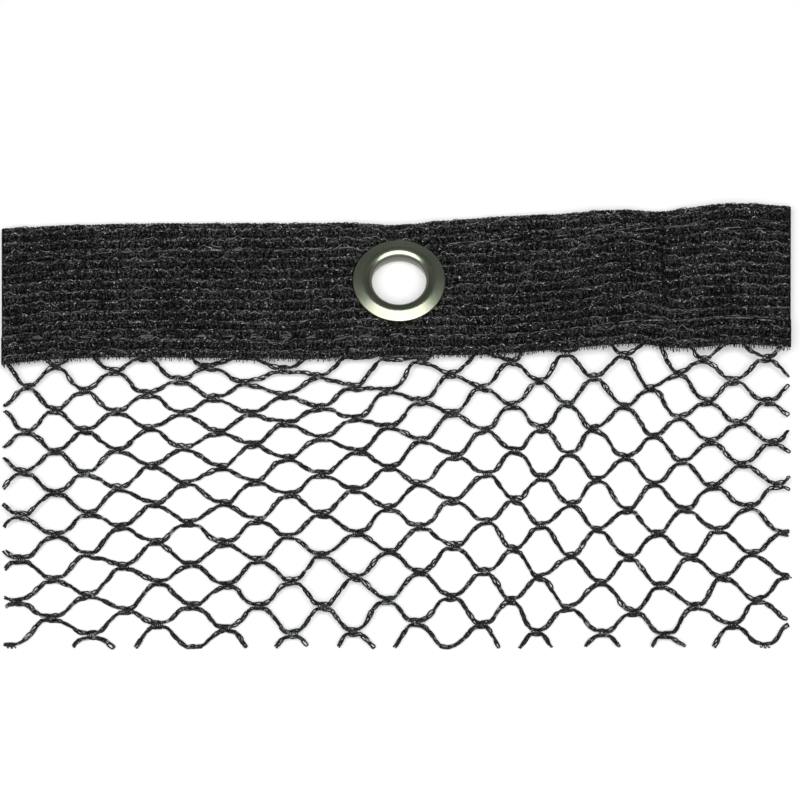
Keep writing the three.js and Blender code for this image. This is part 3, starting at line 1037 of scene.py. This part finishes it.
netShades = {"shine": 0.3, "strands": 1.0, "level": 0.7, "glints": 0.9, "glintLevel": 0.66}
floatShades = {"shine": 0.1, "strands": 1.6, "level": 0.68, "glints": 1.5, "glintLevel": 0.76}
knitShades = {"shine": 0.2, "strands": 1.8, "level": 0.68, "glints": 1.9, "glintLevel": 0.69}
crestShades = {"shine": 0.3, "strands": 1.3, "level": 0.6, "glints": 1.4, "glintLevel": 0.67}
threadShades = {"shine": 0.3, "strands": 0.8, "level": 0.62, "glints": 1.4, "glintLevel": 0.7}

netFinish = yarnFinish(
    "netting_yarn", grey(0.003, 0.2), grey(0.032, 0.3), grey(0.22, 0.1), netShades
)
netFinish.on(netChains, netInlay, netTies)
# The crest yarn is a lighter copy of the knit yarn: painted highlight where the crests catch the light.
crestHighlightFinish = yarnFinish(
    "band_crest_yarn_painted_highlight", grey(0.003, 0.05), grey(0.17, 0.04), grey(0.55, 0.06), crestShades
)
crestHighlightFinish.on(bandCrests)
knitFinish = yarnFinish(
    "band_yarn", grey(0.001, 0.04), grey(0.068, 0.05), grey(0.4, 0.06), knitShades
)
knitFinish.on(bandWales, bandArches, bandWhiskers)
# The laid-in yarns that cross the valleys are a darker, duller copy of the knit yarn, with fewer
# glints: painted shade in the valleys.
floatShadeFinish = yarnFinish(
    "band_float_yarn_painted_shade", grey(0.002, 0.04), grey(0.06, 0.05), grey(0.4, 0.06), floatShades
)
floatShadeFinish.on(bandFloats, bandBackFloats)
threadFinish = yarnFinish(
    "sewing_thread", grey(0.025, 0.03), grey(0.17, 0.03), grey(0.4, 0.03), threadShades
)
threadFinish.on(sewingThread)
# The flecks are painted glints: near-white colour that stands in for highlights on the knit.
fleckGlintFinish = yarnFinish(
    "fleck_yarn_painted_glint", grey(0.12, 0.02), grey(0.45, 0.02), grey(0.7, 0.02), threadShades
)
fleckGlintFinish.on(bandFlecks)

groundFinish = Finish("band_ground", **{"Specular IOR Level": 0.05})
specks = groundFinish.noise(2.4, 2)
groundFinish.feed(
    Base_Color=groundFinish.colours(specks.above(0.6, 0.08), grey(0.002), grey(0.045, 0.05)),
    Roughness=0.7 + 0.2 * specks,
    Normal=groundFinish.bump(groundFinish.noise(3.2, 3), 0.2, 0.9),
)
groundFinish.on(bandCloth)


# Plate with faint stains and fine rings turned round the eyelet's axis. The bend into the barrel
# is painted dark and isn't metallic: painted shade in place of the barrel's dark reflection.
def metalFinish(name, first, second, bendShade):
    finish = Finish(name)
    axis = (eyelet["x"] * metres, eyelet["y"] * metres, 0)
    place = finish.node(
        "ShaderNodeVectorMath", {"operation": "SUBTRACT"}, {0: finish.place, 1: axis}
    )
    level = finish.node("ShaderNodeVectorMath", {"operation": "MULTIPLY"}, {0: place, 1: (1, 1, 0)})
    radius = finish.node("ShaderNodeVectorMath", {"operation": "LENGTH"}, {0: level}, 1)
    stain = finish.noise(0.3, 3)
    rings = (radius * (2 * math.pi * 1.9 / metres) + stain * 4.0).maths("SINE")
    scuff = finish.noise(2.2, 4)
    # Off the flange, in the bend, the colour turns to painted shade and the metal to a dull non-metal.
    onFlange = radius.above(6.6 * metres, 0.15 * metres)
    plate = finish.colours((stain * 0.8 + scuff * 0.2).above(0.5, 0.15), first, second)
    finish.feed(
        Base_Color=finish.colours(onFlange, bendShade, plate),
        Metallic=onFlange,
        Roughness=0.16 + 0.12 * scuff + 0.13 * radius.above(8.3 * metres, 0.5 * metres),
        Normal=finish.bump(rings * scuff + stain * 0.5, 0.012, 0.34),
    )
    return finish


nickel = metalFinish(
    "nickel_plate",
    first=(0.36, 0.43, 0.31, 1),
    second=(0.45, 0.47, 0.36, 1),
    bendShade=(0.10, 0.09, 0.07, 1),
)
nickel.on(eyeletRing, washerRing)

print("studio")
stageFinish = Finish(
    "floor_paper",
    **{
        "Specular IOR Level": 0.1,
        "Roughness": 0.9,
        "Base Color": (0.85, 0.85, 0.85, 1),
        "Emission Color": (1, 1, 1, 1),
        "Emission Strength": 0.13,
    },
)
floorMesh = bpy.data.meshes.new("floor")
paper = {"half": 3.0, "below": 0.00005}  # in metres
corners = ((-1, -1), (1, -1), (1, 1), (-1, 1))
floorMesh.from_pydata(
    [(paper["half"] * x, paper["half"] * y, -paper["below"]) for x, y in corners], [], [(0, 1, 2, 3)]
)
floor = bpy.data.objects.new("floor", floorMesh)
bpy.context.scene.collection.objects.link(floor)
floorMesh.materials.append(stageFinish.material)

lights = table(
    "azimuth elevation distance wide high power",
    [
        (0, 67, 900, 1650, 1000, 14.0),
    ],
)
for i, azimuth in enumerate(lights["azimuth"]):
    lamp = bpy.data.lights.new(f"softbox{i}", "AREA")
    lamp.shape = "ELLIPSE"
    lamp.size, lamp.size_y = lights["wide"][i] * metres, lights["high"][i] * metres
    lamp.energy = lights["power"][i]
    a, e = math.radians(azimuth), math.radians(lights["elevation"][i])
    away = Vector((math.sin(a) * math.cos(e), -math.cos(a) * math.cos(e), math.sin(e)))
    lampObject = bpy.data.objects.new(f"softbox{i}", lamp)
    lampObject.location = away * lights["distance"][i] * metres
    lampObject.rotation_euler = away.to_track_quat("Z", "Y").to_euler()
    bpy.context.scene.collection.objects.link(lampObject)

world = bpy.data.worlds.new("studio")
world.use_nodes = True
world.node_tree.nodes["Background"].inputs["Color"].default_value = (1, 1, 1, 1)
world.node_tree.nodes["Background"].inputs["Strength"].default_value = 0.1
bpy.context.scene.world = world
bpy.context.scene.view_settings.view_transform = "Standard"

print("done")
